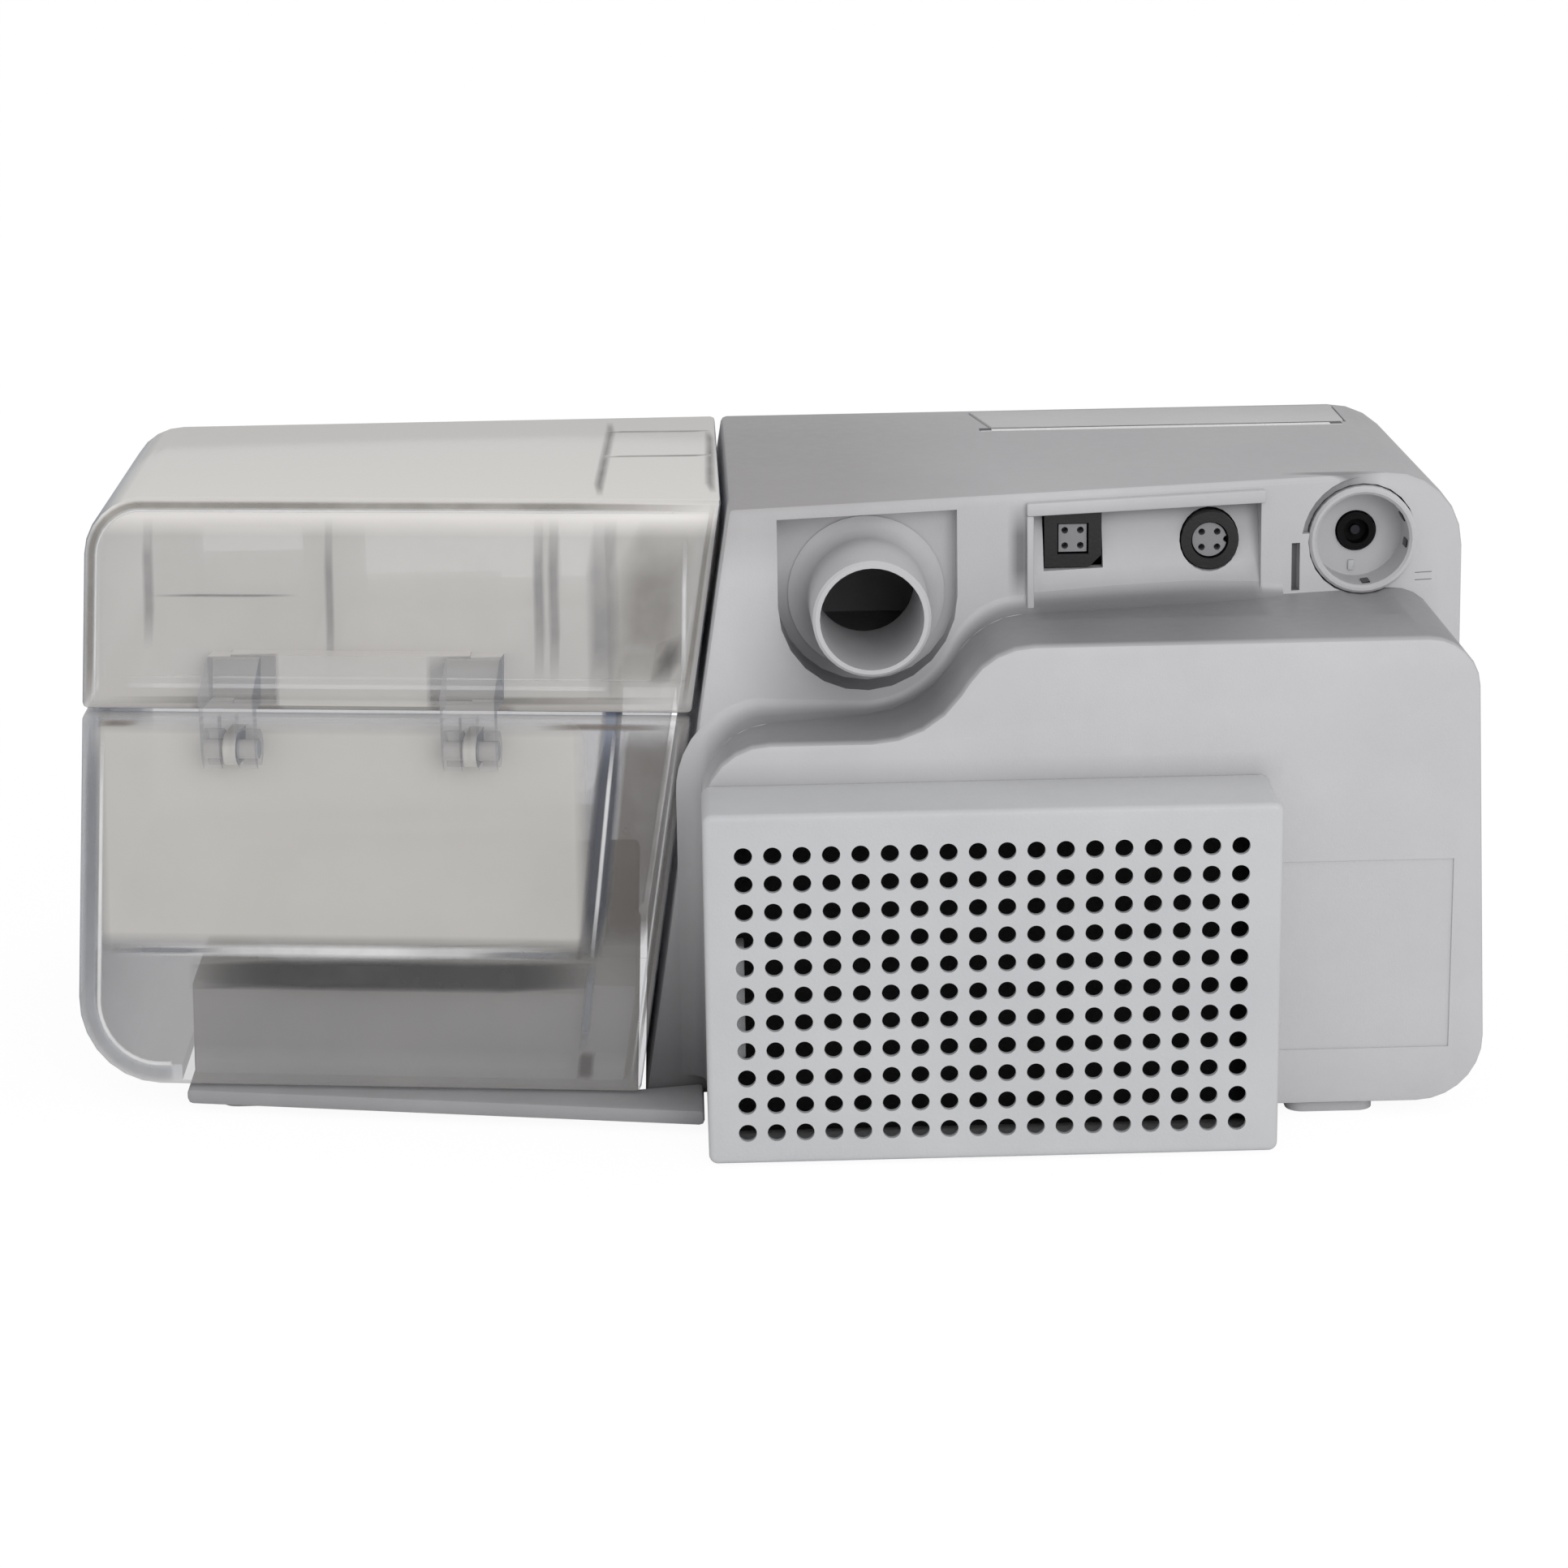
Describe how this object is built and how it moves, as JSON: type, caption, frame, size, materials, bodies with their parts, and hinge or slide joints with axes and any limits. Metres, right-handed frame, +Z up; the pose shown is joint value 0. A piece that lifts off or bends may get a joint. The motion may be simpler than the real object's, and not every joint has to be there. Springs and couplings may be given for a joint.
{
  "type": "bilevel positive airway pressure machine",
  "caption": "Bedside airway pressure machine: leaning grey casing with outlet pipe, sockets and slide-off filter cover, docked to a clear water tank with a hinged lid.",
  "frame": {"origin": "bottom centre of the whole machine, on the surface that its feet stand on", "axes": "+X from the humidifier towards the main unit, seen from the rear; +Y towards the front with the display; +Z up. The pictured rear faces -Y."},
  "size_m": [0.262, 0.145, 0.1123],
  "materials": {
    "casing_grey": "fine matte moulded grey",
    "base_grey": "matte moulded darker grey",
    "clear_plastic": "frosted see-through moulding with clear edges",
    "black_plastic": "black moulding",
    "socket_grey": "grey moulding",
    "rubber": "matte black rubber",
    "silicone": "soft brownish grey silicone",
    "foam": "open black filter foam",
    "steel": "satin",
    "aluminium": "satin",
    "copper_film": "amber film over a copper track",
    "board_green": "green solder mask",
    "glass_black": "glossy black window",
    "lcd_panel": "dark screen"
  },
  "bodies": {
    "main_unit": {"main_casing": "casing_grey", "front_panel": "casing_grey", "base_plate": "casing_grey", "bar_switch_board": "board_green", "display_lens": "glass_black", "lcd_panel": "lcd_panel", "front_board": "board_green", "knob_encoder": "steel", "home_button_switch": "black_plastic", "ramp_button_switch": "black_plastic", "outlet_pipe": "casing_grey", "return_duct": "base_grey", "supply_duct": "base_grey", "return_port_seal": "silicone", "supply_port_seal": "silicone", "square_socket": "black_plastic", "square_socket_insert": "socket_grey", "round_socket": "black_plastic", "round_socket_insert": "socket_grey", "power_inlet_ring": "casing_grey", "power_inlet_core": "black_plastic", "power_inlet_pin": "steel", "blower_base": "base_grey", "blower_cover": "base_grey", "blower_motor": "steel", "blower_pad_1": "rubber", "blower_pad_2": "rubber", "blower_pad_3": "rubber", "main_board": "board_green", "base_screw_1": "steel", "base_screw_2": "steel", "base_screw_3": "steel", "base_screw_4": "steel", "foot_1": "rubber", "foot_2": "rubber", "foot_3": "rubber", "foot_4": "rubber", "humidifier_base": "base_grey", "heater_cover": "base_grey", "heater_plate": "aluminium", "heater_film": "copper_film", "humidifier_foot_1": "rubber", "humidifier_foot_2": "rubber", "humidifier_foot_3": "rubber", "humidifier_foot_4": "rubber"},
    "filter_cover": {"filter_cover": "casing_grey", "filter_pad": "foam"},
    "start_bar": {"start_bar": "casing_grey"},
    "home_button": {"home_button": "casing_grey"},
    "ramp_button": {"ramp_button": "casing_grey"},
    "control_knob": {"control_knob": "casing_grey"},
    "impeller": {"blower_impeller": "black_plastic", "blower_shaft": "steel"},
    "water_tank": {"water_tank": "clear_plastic", "tank_heat_plate": "steel"},
    "humidifier_lid": {"humidifier_lid": "clear_plastic", "lid_insert": "clear_plastic", "lid_air_duct": "clear_plastic", "lid_seal": "silicone"},
    "lid_latch": {"lid_latch": "clear_plastic"}
  },
  "joints": [
    {"name": "tank_slide", "type": "slide", "parent": "main_unit", "child": "water_tank", "axis": [-1, 0, 0], "range_m": [0, 0.045]},
    {"name": "lid_hinge", "type": "hinge", "parent": "water_tank", "child": "humidifier_lid", "pos_m": [-0.0985, -0.02921, 0.068], "axis": [0.9929, -0.1191, 0], "range_deg": [0, 95]},
    {"name": "lid_latch_hinge", "type": "hinge", "parent": "water_tank", "child": "lid_latch", "pos_m": [-0.0675, 0.06877, 0.06033], "axis": [-1, 0, 0], "range_deg": [0, 40]},
    {"name": "filter_cover_slide", "type": "slide", "parent": "main_unit", "child": "filter_cover", "axis": [0, -1, 0], "range_m": [0, 0.02]},
    {"name": "start_bar_press", "type": "slide", "parent": "main_unit", "child": "start_bar", "axis": [0, 0, -1], "range_m": [0, 0.0012], "stiffness_N_per_m": 800, "springref_m": -0.0004},
    {"name": "home_button_press", "type": "slide", "parent": "main_unit", "child": "home_button", "axis": [0, -0.9936, -0.1129], "range_m": [0, 0.001], "stiffness_N_per_m": 600, "springref_m": -0.0003},
    {"name": "ramp_button_press", "type": "slide", "parent": "main_unit", "child": "ramp_button", "axis": [0, -0.9936, -0.1129], "range_m": [0, 0.001], "stiffness_N_per_m": 600, "springref_m": -0.0003},
    {"name": "control_knob_turn", "type": "hinge", "parent": "main_unit", "child": "control_knob", "pos_m": [0.1085, 0.06338, 0.082], "axis": [0, 0.9936, 0.1129], "continuous": true},
    {"name": "blower_spin", "type": "hinge", "parent": "main_unit", "child": "impeller", "pos_m": [0.0625, 0.01, 0.0209], "axis": [0, 0, 1], "continuous": true}
  ]
}
